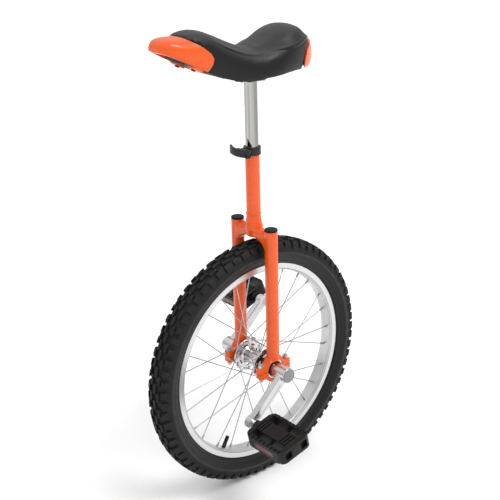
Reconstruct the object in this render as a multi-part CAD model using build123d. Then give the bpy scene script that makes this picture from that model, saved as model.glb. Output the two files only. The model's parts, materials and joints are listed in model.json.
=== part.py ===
from build123d import *
import math
import os

os.makedirs("parts", exist_ok=True)

# Twenty-inch unicycle.  Row frame, millimetres: +X is forward (the saddle's
# handle end), +Y is the rider's left, +Z is up.  The origin is the point where
# the tyre touches the ground, straight below the axle.

# ---------------------------------------------------------------- dimensions
R_TYRE = 258.0          # outer radius over the tread blocks (20 x 2.125 tyre)
W_TYRE = 27.0           # half width of the tyre
R_FLANGE = 207.0        # rim flange edge (bead seat diameter 406)
W_RIM = 16.2            # rim half width
R_RIM_IN = 192.5        # inner face of the rim, where the spokes enter
R_BEAD = 202.6          # bead seat radius
N_SPOKES = 28
CROSS = 3               # each spoke crosses three others of its own flange
VALVE_ANGLE = -60.5     # degrees above +X, seen from the rider's right
R_HUB_FLANGE = 34.5
R_HUB_PCD = 29.8
Y_HUB_FLANGE = 29.0     # middle plane of each hub flange
T_HUB_FLANGE = 3.2
D_SPOKE = 2.0
R_AXLE = 8.5            # 17 mm axle
Y_BEARING = 49.0        # middle plane of each bearing and fork leg
W_BEARING = 12.0        # 17 x 40 x 12 bearing
R_BEARING = 20.0
R_INNER_RACE = 11.6
CRANK_LENGTH = 114.0
CRANK_ANGLE = -41.0     # left crank, degrees above +X; the right one is opposite
Y_BOSS_IN, Y_BOSS_OUT = 60.0, 94.5
Y_ARM_IN, Y_ARM_OUT = 74.5, 88.0
Y_DUST = 97.0
PEDAL_IN, PEDAL_OUT = 106.5, 209.5
PEDAL_HALF_LENGTH = 38.0
PEDAL_HALF_HEIGHT = 13.5
LEFT_PITCH = 12.0        # nose-down pitch of each pedal as it rests
RIGHT_PITCH = 20.0
R_LEG, T_TUBE = 12.7, 1.5
Z_LEG_TOP = 549.0
Z_LEG_PLUG = 553.0
Z_LEG_FOOT = 285.0
R_NECK, R_NECK_IN = 13.7, 12.25
Z_NECK_FOOT, Z_NECK_TOP = 546.0, 701.5
R_POST, T_POST = 12.2, 1.8
Z_POST_FOOT, Z_POST_TOP = 570.0, 838.0
Z_COLLAR, H_COLLAR = 689.5, 14.5

WC = Vector(0, 0, R_TYRE)   # wheel centre


def rotate_y(shape, deg, centre=WC):
    """Turn a shape about the line parallel to Y through centre."""
    ax = Axis((centre.X, centre.Y, centre.Z), (0, 1, 0))
    return shape.rotate(ax, deg)


def save(node, shape, label=None):
    solids = shape.solids() if not isinstance(shape, list) else [s for p in shape for s in p.solids()]
    out = solids[0] if len(solids) == 1 else Compound(children=list(solids))
    out.label = node
    export_step(out, f"parts/{node}.step")
    return out


def ring(points, centre=WC):
    """Closed (radius, y) outline turned about the wheel axis."""
    f = make_face(Polyline(*points, close=True))
    return revolve(f, axis=Axis.Y, revolution_arc=360).moved(Location(centre))


def cyl_y(r, y0, y1, x=0.0, z=R_TYRE):
    """Cylinder along Y between y0 and y1."""
    a, b = min(y0, y1), max(y0, y1)
    pl = Plane(origin=(x, a, z), x_dir=(1, 0, 0), z_dir=(0, 1, 0))
    return Solid.make_cylinder(r, b - a, pl)


def cyl_z(r, z0, z1, x=0.0, y=0.0):
    return Solid.make_cylinder(r, z1 - z0, Plane(origin=(x, y, z0), z_dir=(0, 0, 1)))


def box(x0, x1, y0, y1, z0, z1):
    return Solid.make_box(x1 - x0, y1 - y0, z1 - z0, Plane(origin=(x0, y0, z0)))


def hexagon(af, z0, z1, x, y):
    """Hexagonal prism along Z, given across its flats."""
    f = Plane(origin=(x, y, z0)) * RegularPolygon(af / math.sqrt(3), 6)
    return extrude(f, amount=z1 - z0)


def hexagon_y(af, y0, y1, x=0.0, z=R_TYRE):
    pl = Plane(origin=(x, min(y0, y1), z), x_dir=(1, 0, 0), z_dir=(0, 1, 0))
    return extrude(pl * RegularPolygon(af / math.sqrt(3), 6), amount=abs(y1 - y0))


def try_fillet(shape, edges, radius):
    """Fillet, with smaller radii where the full one does not fit."""
    for k in (1.0, 0.7, 0.45, 0.25):
        try:
            out = fillet(edges, radius * k)
            if out.is_valid:
                return out
        except Exception:
            pass
    return shape


def mirror_y(shape):
    return mirror(shape, about=Plane.XZ)


# ---------------------------------------------------------------- tyre and rim
def half(points):
    """Mirror a half outline given from +y to the crown, in (radius, y)."""
    return points + [(r, -y) for r, y in reversed(points) if y > 1e-6]


outer_wall = [(R_BEAD, 13.9), (206.4, 13.9), (207.6, 14.8), (208.3, 16.2), (210.5, 18.8), (215.0, 22.0),
              (222.0, 25.4), (231.0, W_TYRE), (239.0, 26.4), (245.0, 25.2), (251.0, 22.6),
              (254.2, 18.6), (254.2, 14.6), (256.6, 14.0), (256.9, 7.2), (254.6, 6.6),
              (254.6, 4.6), (R_TYRE, 4.0), (R_TYRE, 0.0)]
cavity = [(R_BEAD, 8.6), (206.5, 9.6), (211.0, 14.6), (217.0, 19.4), (224.0, 22.2),
          (231.0, 23.2), (238.0, 22.4), (244.0, 19.4), (248.0, 13.6), (249.6, 7.0), (250.0, 0.0)]
tyre = ring([(r, y) for r, y in outer_wall] + [(r, -y) for r, y in reversed(outer_wall[:-1])]
            + [(r, -y) for r, y in cavity] + [(r, y) for r, y in reversed(cavity[:-1])])
save("tyre", tyre)

# The inner tube fills the carcass and lies on the rim tape in the well.
tape = [(200.9, -8.0), (200.9, 8.0), (199.9, 8.0), (199.9, -8.0)]
tube_outer = cavity + [(r, -y) for r, y in reversed(cavity[:-1])] + [(200.9, -7.6), (200.9, 7.6)]
tube_inner = [(202.6, 7.0), (207.6, 8.6), (212.2, 13.6), (217.9, 18.0), (224.4, 20.7),
              (231.0, 21.7), (237.5, 20.9), (243.0, 18.2), (246.8, 12.8), (248.2, 6.6), (248.5, 0.0)]
tube_hole = ring(tube_inner + [(r, -y) for r, y in reversed(tube_inner[:-1])])
inner_tube = ring(tube_outer) - tube_hole
rim_tape = ring(tape)

rim_half = [(R_FLANGE, W_RIM), (R_FLANGE + 0.6, W_RIM - 0.8), (R_FLANGE + 0.6, 14.8), (R_FLANGE - 0.6, 13.9),
            (R_BEAD, 13.9), (R_BEAD, 9.4), (199.9, 8.2)]
rim_pts = [(r, y) for r, y in rim_half] + [(r, -y) for r, y in reversed(rim_half)]
rim_in = [(196.6, 16.2), (194.0, 14.2), (193.4, 12.6), (193.2, 9.4), (R_RIM_IN, 8.6)]
rim_pts += [(r, -y) for r, y in rim_in] + [(r, y) for r, y in reversed(rim_in)]
rim = ring(rim_pts)
chamber = [(198.2, 6.6), (198.6, 9.6), (200.9, 10.9), (200.9, 14.2), (196.8, 14.2), (195.2, 12.2), (194.6, 8.6)]
rim -= ring(chamber + [(r, -y) for r, y in reversed(chamber)])

# ---------------------------------------------------------------- hub and axle
hub_pts = [(11.5, 31.6), (15.4, 31.6), (17.0, Y_HUB_FLANGE + T_HUB_FLANGE / 2),
           (R_HUB_FLANGE - 0.6, Y_HUB_FLANGE + T_HUB_FLANGE / 2), (R_HUB_FLANGE, Y_HUB_FLANGE + 1.0),
           (R_HUB_FLANGE, Y_HUB_FLANGE - 1.0), (R_HUB_FLANGE - 0.6, Y_HUB_FLANGE - T_HUB_FLANGE / 2),
           (18.5, Y_HUB_FLANGE - T_HUB_FLANGE / 2), (15.5, Y_HUB_FLANGE - 4.5), (14.6, 16.0)]
hub = ring(hub_pts + [(r, -y) for r, y in reversed(hub_pts)])

spoke_step = 360.0 / (N_SPOKES / 2)
theta0 = VALVE_ANGLE + 180.0 / N_SPOKES


def polar(r, deg, y):
    """Point at a radius and angle above +X in the wheel's plane."""
    a = math.radians(deg)
    return Vector(r * math.cos(a), y, R_TYRE + r * math.sin(a))


def rod(a, b, r):
    d = b - a
    return Solid.make_cylinder(r, d.length, Plane(origin=a, z_dir=d.normalized()))


spokes = {1: [], -1: []}
nipples, rim_holes, hub_holes, spoke_volumes = [], [], [], []
for k in range(N_SPOKES):
    side = 1 if k % 2 == 0 else -1
    j = k // 2
    th_rim = theta0 + k * 360.0 / N_SPOKES
    lead = 1 if j % 2 == 0 else -1
    th_hub = th_rim + lead * CROSS * spoke_step
    yf = side * Y_HUB_FLANGE
    outside = lead == side      # elbow on the outer or the inner face of the flange
    off = T_HUB_FLANGE / 2 + D_SPOKE / 2 + 0.15
    y_elbow = yf + (side * off if outside else -side * off)
    y_head = yf - (side * off if outside else -side * off)
    elbow = polar(R_HUB_PCD, th_hub, y_elbow)
    rim_pt = polar(R_RIM_IN + 3.0, th_rim, side * 2.4)
    d = (rim_pt - elbow).normalized()
    nip_top = rim_pt + d * 1.0
    nip_end = rim_pt - d * 11.0
    head = polar(R_HUB_PCD, th_hub, y_head)
    out = Vector(0, (y_head - y_elbow) / abs(y_head - y_elbow), 0)
    s = rod(elbow, nip_top, D_SPOKE / 2) + Solid.make_sphere(D_SPOKE / 2 + 0.02, Plane(origin=elbow), -90, 90, 360)
    s = s + rod(elbow, head, D_SPOKE / 2)
    s = s + Solid.make_cylinder(1.8, 1.1, Plane(origin=head - out * 0.85, z_dir=out))
    spoke_volumes.append(round(s.volume))
    spokes[side].append(s.solids().sort_by(SortBy.VOLUME)[-1])
    n = rod(nip_end, rim_pt, 1.95) + rod(rim_pt - d * 0.9, nip_top, 2.9)
    n -= rod(nip_end - d, nip_top + d, D_SPOKE / 2)
    nipples.append(n.solids()[0])
    rim_holes.append(rod(rim_pt - d * 6, rim_pt - d * 0.9, 1.95))
    rim_holes.append(rod(rim_pt - d * 0.9, rim_pt + d * 9, 4.2))
    hub_holes.append(rod(polar(R_HUB_PCD, th_hub, yf - 4), polar(R_HUB_PCD, th_hub, yf + 4), D_SPOKE / 2 + 0.15))

print('spoke volumes', min(spoke_volumes), max(spoke_volumes))
rim = rim - rim_holes
hub = hub - hub_holes
slots = []
for side in (1, -1):
    for i in range(7):
        a = theta0 + (i + 0.5) * 360.0 / 7
        pl = Plane(origin=polar(21.6, a, side * Y_HUB_FLANGE), x_dir=(-math.sin(math.radians(a)), 0, math.cos(math.radians(a))),
                   z_dir=(0, 1, 0))
        slots.append(extrude(pl * SlotOverall(11.0, 4.6), amount=4, both=True))
hub = hub - slots

# Valve stem through the rim between two spokes, with its cap and its nut.
v_dir = polar(1, VALVE_ANGLE, 0) - WC
v_pl = lambda r: Plane(origin=WC + v_dir * r, z_dir=-v_dir)
valve_stem = Solid.make_cylinder(4.0, 22.0, v_pl(202.0)) + Solid.make_cylinder(2.6, 7.0, v_pl(180.5))
valve_cap = Solid.make_cylinder(3.9, 12.0, v_pl(180.0)) - Solid.make_cylinder(2.6, 6.5, v_pl(180.0))
valve_hole = Solid.make_cylinder(4.1, 30.0, v_pl(204.0))
rim = rim - valve_hole
rim_tape = rim_tape - Solid.make_cylinder(4.0, 30.0, v_pl(204.0))
inner_tube = inner_tube - Solid.make_cylinder(4.0, 30.0, v_pl(202.0))

save("inner_tube", inner_tube)
save("rim_tape", rim_tape)
save("rim", rim)
save("spokes_left", spokes[1])
save("spokes_right", spokes[-1])
save("spoke_nipples", nipples)
save("valve_stem", valve_stem)
save("valve_cap", valve_cap)

taper_in, taper_out, y_tip = 14.4, 12.8, 85.0


def taper(y0, y1, a, b):
    p0 = Plane(origin=(0, y0, R_TYRE), x_dir=(1, 0, 0), z_dir=(0, 1, 0))
    p1 = Plane(origin=(0, y1, R_TYRE), x_dir=(1, 0, 0), z_dir=(0, 1, 0))
    return loft([p0 * Rectangle(a, a), p1 * Rectangle(b, b)])


axle = cyl_y(R_AXLE, -60, 60) + cyl_y(11.5, -43, 43)
tap_l = rotate_y(taper(60, y_tip, taper_in, taper_out), -CRANK_ANGLE)
tap_r = rotate_y(mirror_y(taper(60, y_tip, taper_in, taper_out)), -CRANK_ANGLE)
axle = axle + tap_l + tap_r
axle = axle - [cyl_y(4.0, 62, 90), cyl_y(4.0, -90, -62)]
save("axle", axle)
save("hub_shell", hub)

# ---------------------------------------------------------------- bearings
yb0, yb1 = Y_BEARING - W_BEARING / 2, Y_BEARING + W_BEARING / 2
R_BALL, N_BALLS, R_PITCH = 3.4, 8, 14.2
ball_path = Solid.make_torus(R_PITCH, R_BALL + 0.06, Plane(origin=(0, Y_BEARING, R_TYRE), z_dir=(0, 1, 0)))
outer_ring = ring([(16.6, yb0), (R_BEARING, yb0), (R_BEARING, yb1), (16.6, yb1)]) - ball_path
inner_ring = ring([(R_AXLE, yb0), (R_INNER_RACE, yb0), (R_INNER_RACE, yb1), (R_AXLE, yb1)]) \
    - Solid.make_torus(R_PITCH, R_BALL, Plane(origin=(0, Y_BEARING, R_TYRE), z_dir=(0, 1, 0)))
balls = [Solid.make_sphere(R_BALL, Plane(origin=polar(R_PITCH, i * 360 / N_BALLS, Y_BEARING)), -90, 90, 360)
         for i in range(N_BALLS)]
seals = [ring([(R_INNER_RACE + 0.3, y0), (16.6, y0), (16.6, y0 + 1.0), (R_INNER_RACE + 0.3, y0 + 1.0)])
         for y0 in (yb0 + 0.3, yb1 - 1.3)]
save("bearing_outer_rings", [outer_ring, mirror_y(outer_ring)])
save("bearing_inner_rings", [inner_ring, mirror_y(inner_ring)])
save("bearing_balls", balls + [mirror_y(b) for b in balls])
save("bearing_seals", seals + [mirror_y(s) for s in seals])
spacer = ring([(R_AXLE, yb1), (11.0, yb1), (11.0, Y_BOSS_IN), (R_AXLE, Y_BOSS_IN)])
save("axle_spacers", [spacer, mirror_y(spacer)])

# ---------------------------------------------------------------- cranks
# Drawn along +X, then turned to the crank angle.
eye_x = CRANK_LENGTH
pl_arm = Plane(origin=(0, Y_ARM_IN, R_TYRE), x_dir=(1, 0, 0), z_dir=(0, 1, 0))
w0, w1 = 11.6, 9.8
arm_face = make_face(Polyline((6, w0), (eye_x, w1), (eye_x, -w1), (6, -w0), close=True))
arm = extrude(pl_arm * arm_face, amount=Y_ARM_OUT - Y_ARM_IN)
arm = try_fillet(arm, arm.edges().filter_by(lambda e: abs(e.tangent_at(0.5).X) > 0.9), 2.6)
arm = arm + cyl_y(12.4, Y_ARM_IN - 0.5, Y_ARM_OUT, eye_x)
arm = arm + cyl_y(15.5, Y_BOSS_IN, Y_BOSS_OUT)
panel = extrude(Plane(origin=(58, Y_ARM_OUT - 0.7, R_TYRE), x_dir=(1, 0, 0), z_dir=(0, 1, 0)) * SlotOverall(70, 9), amount=3)
arm = arm - panel
arm = arm - [cyl_y(11.2, 86.5, 100), cyl_y(7.1, 70, 92, eye_x)]
arm = arm - taper(60, y_tip, taper_in, taper_out) - cyl_y(4.2, 60, 90)
rim_edges = arm.edges().filter_by(GeomType.CIRCLE).filter_by(lambda e: abs(e.radius - 15.5) < 0.01 and abs(e.center().Y - Y_BOSS_OUT) < 0.1)
arm = try_fillet(arm, rim_edges, 1.2)
crank_left = rotate_y(arm, -CRANK_ANGLE)
crank_right = rotate_y(mirror_y(arm), -CRANK_ANGLE + 180)
save("crank_left", crank_left)
save("crank_right", crank_right)

bolt = cyl_y(4.0, 66, 86.5) + cyl_y(8.4, 86.5, 88) + hexagon_y(13, 88, 92.5)
save("crank_bolts", [bolt, mirror_y(bolt)])
cap = ring([(0, 95.2), (9.6, 95.2), (9.6, 92.8), (11.2, 92.8), (11.2, 94.5), (13.8, 94.5), (13.8, 96.2), (13.0, Y_DUST), (0, Y_DUST)])
save("dust_caps", [cap, mirror_y(cap)])

# ---------------------------------------------------------------- pedals
a_l = math.radians(CRANK_ANGLE)
PL = Vector(CRANK_LENGTH * math.cos(a_l), 0, R_TYRE + CRANK_LENGTH * math.sin(a_l))
PR = Vector(-PL.X, 0, 2 * R_TYRE - PL.Z)


def yrod(parts):
    """Stepped shaft about the local Y axis: (radius, y0, y1)."""
    out = None
    for r, y0, y1 in parts:
        c = cyl_y(r, y0, y1, 0, 0)
        out = c if out is None else out + c
    return out


spindle = yrod([(7.1, 74.2, 88.0), (9.6, 88.0, 90.6), (7.6, 90.6, 96.0), (6.0, 96.0, 128.0), (4.6, 128.0, 186.0),
                (3.2, 186.0, 194.0)])
spindle -= [box(-10, 10, 90.6, 94.6, 6.8, 12), box(-10, 10, 90.6, 94.6, -12, -6.8)]
nut = extrude(Plane(origin=(0, 187.5, 0), x_dir=(1, 0, 0), z_dir=(0, 1, 0)) * RegularPolygon(5.2, 6), amount=4.6) - cyl_y(3.2, 186, 196, 0, 0)
washer = cyl_y(5.6, 186.0, 187.5, 0, 0) - cyl_y(3.2, 185, 189, 0, 0)

# Plastic platform pedal: a barrel round the spindle, a chamfered cage with
# toothed front and rear bars, and windows between.
hl, hh = PEDAL_HALF_LENGTH, PEDAL_HALF_HEIGHT
cage = box(-hl, hl, PEDAL_IN, PEDAL_OUT, -hh, hh)
cage = try_fillet(cage, cage.edges().filter_by(Axis.Z), 14.0)
cuts = []
for sx in (1, -1):
    for (y0, y1) in ((116.0, 155.5), (159.5, 199.0)):
        x0, x1 = sorted((sx * 14.5, sx * (hl - 7.5)))
        cuts.append(box(x0, x1, y0, y1, -hh - 1, hh + 1))
    # hollow behind the end plates, so each side reads as a frame
    x0, x1 = sorted((sx * 12.0, sx * 27.0))
    cuts.append(box(x0, x1, 202.5, 215, -8.0, 8.0))
    # the rib between the windows is cut down from both faces
    x0, x1 = sorted((sx * 14.5, sx * (hl - 7.5)))
    cuts += [box(x0, x1, 150, 165, 3.0, hh + 1), box(x0, x1, 150, 165, -hh - 1, -3.0)]
cage = cage - cuts
# the tread: shallow grooves across the barrel block, and teeth along the bars
grooves = []
for y in (115, 122, 129, 180, 187, 194):
    for sz in (1, -1):
        z0, z1 = sorted((sz * (hh - 2.2), sz * (hh + 1)))
        grooves.append(box(-14.5, 14.5, y - 1.6, y + 1.6, z0, z1))
teeth = []
for i in range(9):
    y = 113.5 + i * 10.2
    for sx in (1, -1):
        for sz in (1, -1):
            x0, x1 = sorted((sx * (hl - 7.2), sx * (hl + 1)))
            z0, z1 = sorted((sz * (hh - 1.9), sz * (hh + 1)))
            teeth.append(box(x0, x1, y + 3.8, y + 6.6, z0, z1))
cage = cage - grooves - teeth
# recesses for the reflectors in the front and rear bars
pockets = []
for sx in (1, -1):
    x0, x1 = sorted((sx * (hl - 2.4), sx * (hl + 1)))
    pockets.append(box(x0, x1, 133, 184, -8.2, 4.2))
cage = cage - pockets
cage = cage + cyl_y(11.0, 96.6, PEDAL_IN + 3, 0, 0)
cage = cage - [cyl_y(7.4, 90, 112, 0, 0), cyl_y(8.0, 112, 206, 0, 0), cyl_y(10.0, 205.5, 216, 0, 0)]
bush_in = yrod([(8.0, 112, 126)]) - cyl_y(6.05, 110, 128, 0, 0)
bush_out = yrod([(8.0, 172, 185.9)]) - cyl_y(4.65, 170, 190, 0, 0)
end_cap = yrod([(10.0, 205.5, PEDAL_OUT + 0.4), (8.0, 198.0, 205.5)]) - cyl_y(6.4, 190, 207.0, 0, 0)
reflectors = []
for sx in (1, -1):
    x0, x1 = sorted((sx * (hl - 2.4), sx * (hl - 0.2)))
    reflectors.append(box(x0, x1, 133.3, 183.7, -7.9, 3.9))


def place(shape, side):
    """Put a pedal piece at the end of its crank, at its resting pitch."""
    if side > 0:
        return shape.rotate(Axis.Y, LEFT_PITCH).moved(Location(PL))
    return mirror_y(shape).rotate(Axis.Y, RIGHT_PITCH).moved(Location(PR))


for side, name in ((1, "left"), (-1, "right")):
    save(f"pedal_spindle_{name}", place(spindle, side))
    save(f"pedal_body_{name}", place(cage, side))
    save(f"pedal_bushes_{name}", [place(bush_in, side), place(bush_out, side)])
    save(f"pedal_reflectors_{name}", [place(r, side) for r in reflectors])
    save(f"pedal_end_cap_{name}", place(end_cap, side))
save("spindle_nuts", [place(nut, 1), place(washer, 1), place(nut, -1), place(washer, -1)])

# ---------------------------------------------------------------- bearing holders
# Upper half welded to the leg, lower half bolted to it by two ears.
y0h, y1h = Y_BEARING - 8.0, Y_BEARING + 8.0


def xz_plate(edges, y0, y1):
    """Plate with an (x, z above the axle) outline, between two y planes."""
    pl = Plane(origin=(0, y1, R_TYRE), x_dir=(1, 0, 0), z_dir=(0, -1, 0))
    return extrude(pl * make_face(edges), amount=y1 - y0)


up = Polyline((-41.0, 0.6), (-41.0, 8.5), (-38.5, 11.1), (-26.0, 11.1), (-19.5, 15.5), (-13.6, 25.0), (-12.2, 27.0),
              (12.2, 27.0), (13.6, 25.0), (19.5, 15.5), (26.0, 11.1), (38.5, 11.1), (41.0, 8.5), (41.0, 0.6), close=True)
holder = xz_plate(up, y0h, y1h)
ear_edges = holder.edges().filter_by(Axis.Z).filter_by(lambda e: abs(abs(e.center().X) - 41.0) < 0.1)
holder = try_fillet(holder, ear_edges, 6.0)
holder = holder + cyl_z(R_LEG, R_TYRE + 12, Z_LEG_FOOT, 0, Y_BEARING)
holder = holder - cyl_y(R_BEARING, 30, 70)
holder = holder - [cyl_z(3.1, 250, 280, x, Y_BEARING) for x in (-32.0, 32.0)]
low = Polyline((-41.0, -0.6), (-41.0, -9.0), (-38.0, -12.4), (-27.0, -12.4), (-21.0, -18.0), (-13.0, -23.6), (-6.0, -24.8),
               (6.0, -24.8), (13.0, -23.6), (21.0, -18.0), (27.0, -12.4), (38.0, -12.4), (41.0, -9.0), (41.0, -0.6), close=True)
capb = xz_plate(low, y0h, y1h)
ear_edges = capb.edges().filter_by(Axis.Z).filter_by(lambda e: abs(abs(e.center().X) - 41.0) < 0.1)
capb = try_fillet(capb, ear_edges, 6.0)
capb = capb - cyl_y(R_BEARING, 30, 70)
capb = capb - [cyl_z(3.1, 230, 262, x, Y_BEARING) for x in (-32.0, 32.0)]
save("bearing_holder_left", holder)
save("bearing_holder_right", mirror_y(holder))
save("bearing_cap_left", capb)
save("bearing_cap_right", mirror_y(capb))
ear_top = R_TYRE + 11.1
cbolts, cnuts = [], []
for sy in (1, -1):
    for x in (-32.0, 32.0):
        y = sy * Y_BEARING
        b = cyl_z(3.0, R_TYRE - 13.0, ear_top + 8.0, x, y) + cyl_z(5.0, R_TYRE - 18.6, R_TYRE - 12.4, x, y)
        b -= hexagon(5.0, R_TYRE - 20.0, R_TYRE - 15.6, x, y)
        cbolts.append(b)
        w = cyl_z(5.8, ear_top, ear_top + 1.2, x, y)
        n = hexagon(10.0, ear_top + 1.2, ear_top + 6.2, x, y)
        cnuts.append(w + n - cyl_z(3.0, ear_top - 2, ear_top + 9, x, y))
save("bearing_cap_bolts", cbolts)
save("bearing_cap_nuts", cnuts)

# ---------------------------------------------------------------- fork
for sy, name in ((1, "left"), (-1, "right")):
    y = sy * Y_BEARING
    leg = cyl_z(R_LEG, Z_LEG_FOOT, Z_LEG_TOP, 0, y) - cyl_z(R_LEG - T_TUBE, Z_LEG_FOOT - 1, Z_LEG_TOP + 1, 0, y)
    save(f"fork_leg_{name}", leg)
plugs = []
for sy in (1, -1):
    y = sy * Y_BEARING
    p = cyl_z(R_LEG, Z_LEG_TOP, Z_LEG_PLUG, 0, y) + cyl_z(R_LEG - T_TUBE, Z_LEG_TOP - 10, Z_LEG_TOP, 0, y)
    p = try_fillet(p, p.edges().filter_by(GeomType.CIRCLE).sort_by(Axis.Z)[-1:], 1.6)
    plugs.append(p)
save("leg_plugs", plugs)

# Crown: an arched bridge between the legs, with a socket that flares into the neck.
z0 = 546.5
top_line = [(-Y_BEARING, z0), (-34, z0 - 1.0), (-24, z0 - 1.4), (-15, z0 + 0.5), (15, z0 + 0.5), (24, z0 - 1.4), (34, z0 - 1.0), (Y_BEARING, z0)]
arch = [(Y_BEARING, 506), (38.5, 506), (36.5, 512), (31.0, 518.5), (22.0, 523.0), (11.0, 525.4), (-11.0, 525.4), (-22.0, 523.0),
        (-31.0, 518.5), (-36.5, 512), (-38.5, 506), (-Y_BEARING, 506)]
pl_yz = Plane(origin=(-12.0, 0, 0), x_dir=(0, 1, 0), z_dir=(1, 0, 0))
crown = extrude(pl_yz * make_face(Polyline(*(top_line + arch), close=True)), amount=24.0)
long_edges = crown.edges().filter_by(lambda e: abs(e.tangent_at(0.5).X) < 0.1 and abs(e.center().Y) < 45)
crown = try_fillet(crown, long_edges, 9.0)
flare = make_face(Polyline((0, 528), (14.0, 528), (17.4, 542), (17.4, 548), (15.4, 555), (14.1, 564), (R_NECK, 573), (0, 573), close=True))
flare = revolve(Plane.XZ * flare, axis=Axis.Z, revolution_arc=360)
crown = crown + flare
crown = crown - cyl_z(R_NECK, Z_NECK_FOOT, 600) - cyl_z(R_NECK_IN, 510, 560) - [cyl_z(R_LEG, 480, 600, 0, s * Y_BEARING) for s in (1, -1)]
save("fork_crown", crown.solids().sort_by(SortBy.VOLUME)[-1])

neck = cyl_z(R_NECK, Z_NECK_FOOT, Z_NECK_TOP) - cyl_z(R_NECK_IN, Z_NECK_FOOT - 1, Z_NECK_TOP + 1)
neck = neck - box(-30, 0, -1.1, 1.1, Z_NECK_TOP - 30, Z_NECK_TOP + 1) - Solid.make_cylinder(2.5, 30, Plane(origin=(0, 0, Z_NECK_TOP - 30), z_dir=(-1, 0, 0)))
save("seat_tube", neck)

# ---------------------------------------------------------------- seat clamp
# Split collar with two forward ears.  A skewer across the ears carries the nut
# on the right and the cam lever on the left; the closed lever curves round the
# front of the ears.
zc0, zc1 = Z_COLLAR, Z_COLLAR + H_COLLAR
EAR_X, PIN_Y = 24.0, 15.5
collar = cyl_z(16.4, zc0, zc1)
ears = box(8, EAR_X + 6.2, -7.0, 7.0, zc0 + 1.0, zc1 - 1.0)
ears = try_fillet(ears, ears.edges().filter_by(Axis.Y).filter_by(lambda e: e.center().X > 20), 5.0)
collar = collar + ears - cyl_z(R_NECK + 0.05, zc0 - 1, Z_NECK_TOP + 0.3) - cyl_z(R_POST + 0.1, zc0 - 1, zc1 + 1)
collar = collar - box(5, 40, -1.3, 1.3, zc0 - 1, zc1 + 1)
zs = (zc0 + zc1) / 2
collar = collar - cyl_y(2.6, -10, 10, EAR_X, zs)
save("seat_clamp_collar", collar)
skewer = cyl_y(2.5, -13.6, PIN_Y - 2, EAR_X, zs) + (cyl_z(4.6, zs - 2.6, zs + 2.6, EAR_X, PIN_Y) & box(0, 60, 0, 40, zs - 2.6, zs + 2.6))
skewer = skewer - cyl_z(2.0, zs - 10, zs + 10, EAR_X, PIN_Y)
save("clamp_skewer", skewer)
cnut = cyl_y(6.4, -12.6, -7.0, EAR_X, zs) - cyl_y(2.5, -14, -6, EAR_X, zs)
cnut = cnut - [Solid.make_cylinder(0.7, 8, Plane(origin=(EAR_X + 6.5 * math.cos(t), -13.6, zs + 6.5 * math.sin(t)), z_dir=(0, 1, 0)))
               for t in [i * math.pi / 9 for i in range(18)]]
save("clamp_nut", cnut)
cam_seat = cyl_y(6.2, 7.0, 8.6, EAR_X, zs) - cyl_y(2.5, 6, 10, EAR_X, zs)
save("cam_washer", cam_seat)
lever_pin = cyl_z(2.0, zs - 7.6, zs + 7.6, EAR_X, PIN_Y)
save("lever_pin", lever_pin)
# lever: a forked head round the pin and a curved paddle
zl0, zl1 = zs - 6.6, zs + 7.6
head = cyl_z(6.3, zl0, zl1, EAR_X, PIN_Y)
arc_c, arc_r = (21.5, -4.5), 19.5
arc_pts = []
for t in (72, 52, 30, 8, -14, -34):
    arc_pts.append((arc_c[0] + arc_r * math.cos(math.radians(t)), arc_c[1] + arc_r * math.sin(math.radians(t))))
outer = [(arc_c[0] + (arc_r + 2.4) * math.cos(math.radians(t)), arc_c[1] + (arc_r + 2.4) * math.sin(math.radians(t))) for t in (84, 58, 40, 20, 2, -16, -35)]
inner = [(arc_c[0] + (arc_r - 2.0) * math.cos(math.radians(t)), arc_c[1] + (arc_r - 2.0) * math.sin(math.radians(t))) for t in (-37, -15, 4, 25)]
tip = (arc_c[0] + (arc_r + 0.6) * math.cos(math.radians(-42)), arc_c[1] + (arc_r + 0.6) * math.sin(math.radians(-42)))
paddle_face = make_face(Wire([Spline(*([(EAR_X - 1.0, PIN_Y + 6.0)] + outer[1:] + [tip])), Spline(*([tip] + inner + [(EAR_X + 5.5, PIN_Y - 1.0)])),
                         Line((EAR_X + 5.5, PIN_Y - 1.0), (EAR_X - 1.0, PIN_Y + 6.0))]))
paddle = extrude(Plane.XY.offset(zs - 20) * paddle_face, amount=45)
# the paddle climbs from the head to its tip
slab = box(-80, 120, -80, 80, zl0 + 0.6, zl1 + 0.4)
slab = slab.rotate(Axis((EAR_X, PIN_Y, zs), (35.0, 15.0, 0.0)), -10.5)
paddle = paddle & slab
lever = head + paddle
lever = lever - cyl_z(6.9, zs - 2.9, zs + 2.9, EAR_X, PIN_Y) - box(EAR_X - 8, EAR_X + 6, -2, PIN_Y, zs - 2.9, zs + 2.9)
lever = lever - cyl_z(2.06, zs - 12, zs + 14, EAR_X, PIN_Y)
save("quick_release_lever", lever.solids().sort_by(SortBy.VOLUME)[-1])
print("lever", [round(q.volume) for q in lever.solids()])

# ---------------------------------------------------------------- seatpost and saddle
post = cyl_z(R_POST, Z_POST_FOOT, Z_POST_TOP) - cyl_z(R_POST - T_POST, Z_POST_FOOT - 1, Z_POST_TOP + 1)
save("seatpost", post)
plate = box(-27, 27, -23, 23, Z_POST_TOP, Z_POST_TOP + 3.5)
plate = try_fillet(plate, plate.edges().filter_by(Axis.Z), 7.0)
skirt = cyl_z(R_POST + 2.5, Z_POST_TOP - 7, Z_POST_TOP) - cyl_z(R_POST, Z_POST_TOP - 9, Z_POST_TOP)
plate = plate + skirt
BOLT_XY = [(sx * 20.0, sy * 15.0) for sx in (1, -1) for sy in (1, -1)]
plate = plate - [cyl_z(3.1, Z_POST_TOP - 3, Z_POST_TOP + 6, x, y) for x, y in BOLT_XY]
save("saddle_plate", plate)

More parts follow.
